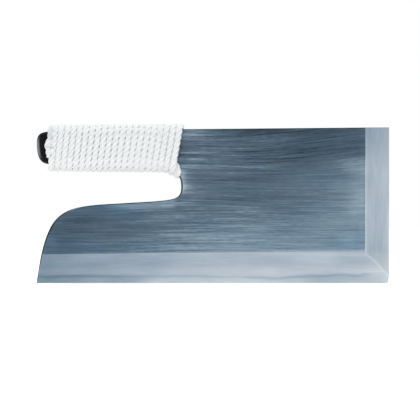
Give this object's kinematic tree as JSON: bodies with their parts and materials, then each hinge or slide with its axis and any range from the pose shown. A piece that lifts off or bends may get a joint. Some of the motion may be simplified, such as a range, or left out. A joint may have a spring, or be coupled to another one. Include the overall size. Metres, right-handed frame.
{
  "type": "noodle knife",
  "caption": "Noodle knife with a tall rectangular single-bevel blade that runs back under its handle, a square front end, and a lacquered full-tang handle bound with white cord.",
  "frame": {"origin": "under the middle of the blade's length, in the middle plane of its thickness, at the height of the cutting edge", "axes": "+X along the cutting edge towards the square front end, +Y out of the flat side, +Z from the cutting edge up to the spine"},
  "size_m": [0.2999, 0.0247, 0.1358],
  "materials": {
    "soft_iron": "satin, with fine streaks along the blade",
    "hard_steel": "fine satin",
    "black_lacquer": "gloss black lacquer",
    "brass": "plain",
    "white_cord": "matt"
  },
  "bodies": {
    "root": {"blade_body": "soft_iron", "edge_steel": "hard_steel", "scale_front": "black_lacquer", "scale_back": "black_lacquer", "rivet_rear": "brass", "rivet_fore": "brass", "cord_wrap": "white_cord"}
  },
  "joints": []
}
